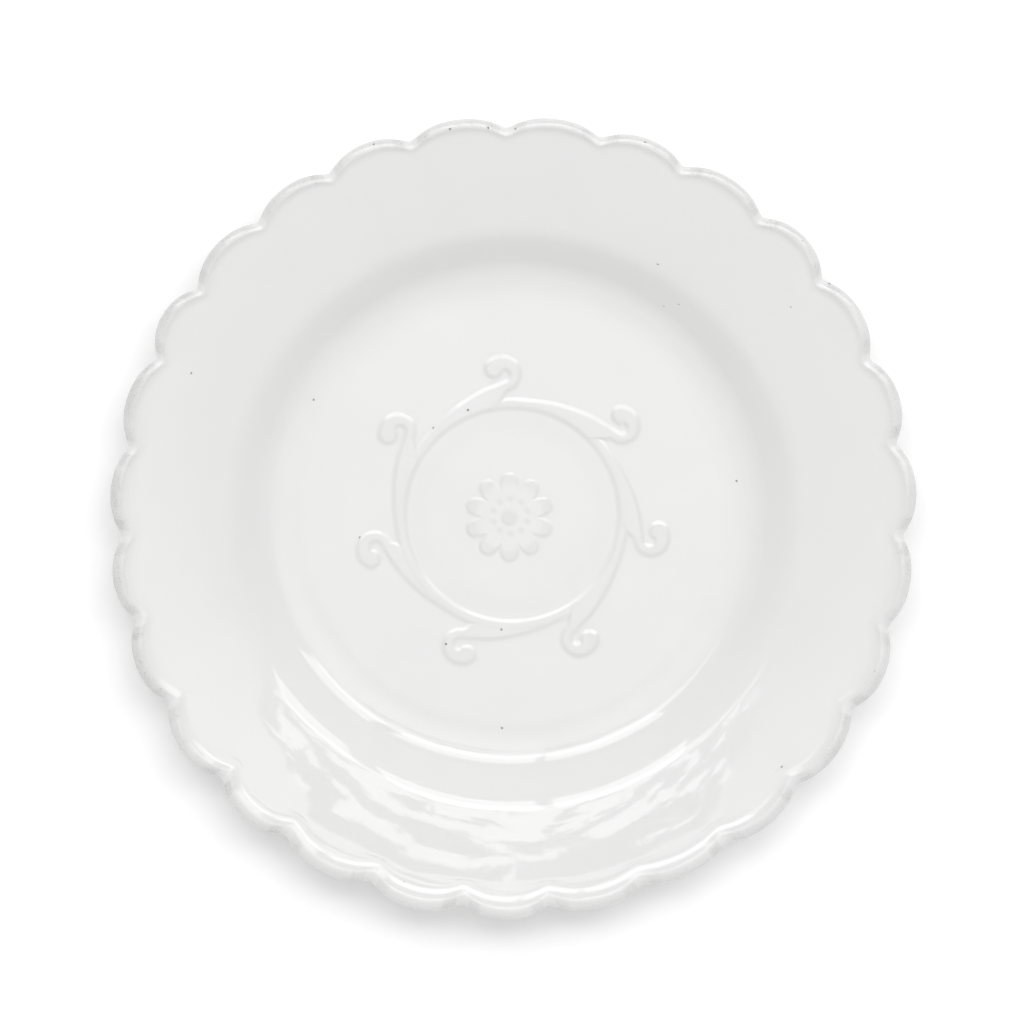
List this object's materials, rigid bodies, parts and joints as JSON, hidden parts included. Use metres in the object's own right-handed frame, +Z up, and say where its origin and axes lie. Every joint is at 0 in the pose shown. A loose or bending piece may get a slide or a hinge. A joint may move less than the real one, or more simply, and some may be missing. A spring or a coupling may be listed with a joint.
{
  "type": "scalloped dessert plate",
  "caption": "Round glazed stoneware dessert plate with a scalloped lip, a coved well, a foot ring and a low relief ring of curled tendrils round a rosette.",
  "frame": {"origin": "centre of the foot ring's standing face, bottom centre of the plate", "axes": "+Z up through the plate, +Y towards the top of the plate as pictured, +X to its right"},
  "size_m": [0.2088, 0.2081, 0.0206],
  "materials": {
    "bare_clay": "matte",
    "lip_glaze": "gloss",
    "front_glaze": "gloss",
    "back_glaze": "gloss",
    "relief_glaze": "gloss"
  },
  "bodies": {
    "root": {"clay_body": "bare_clay", "foot_ring": "bare_clay", "scalloped_lip": "lip_glaze", "front_glaze": "front_glaze", "medallion_glaze": "front_glaze", "back_glaze": "back_glaze", "foot_glaze": "back_glaze", "ring_moulding": "relief_glaze", "tendril_1": "relief_glaze", "tendril_2": "relief_glaze", "tendril_3": "relief_glaze", "tendril_4": "relief_glaze", "tendril_5": "relief_glaze", "tendril_6": "relief_glaze", "tendril_7": "relief_glaze", "petal_1": "relief_glaze", "petal_2": "relief_glaze", "petal_3": "relief_glaze", "petal_4": "relief_glaze", "petal_5": "relief_glaze", "petal_6": "relief_glaze", "petal_7": "relief_glaze", "petal_8": "relief_glaze", "petal_9": "relief_glaze", "petal_10": "relief_glaze", "rosette_button": "relief_glaze"}
  },
  "joints": []
}
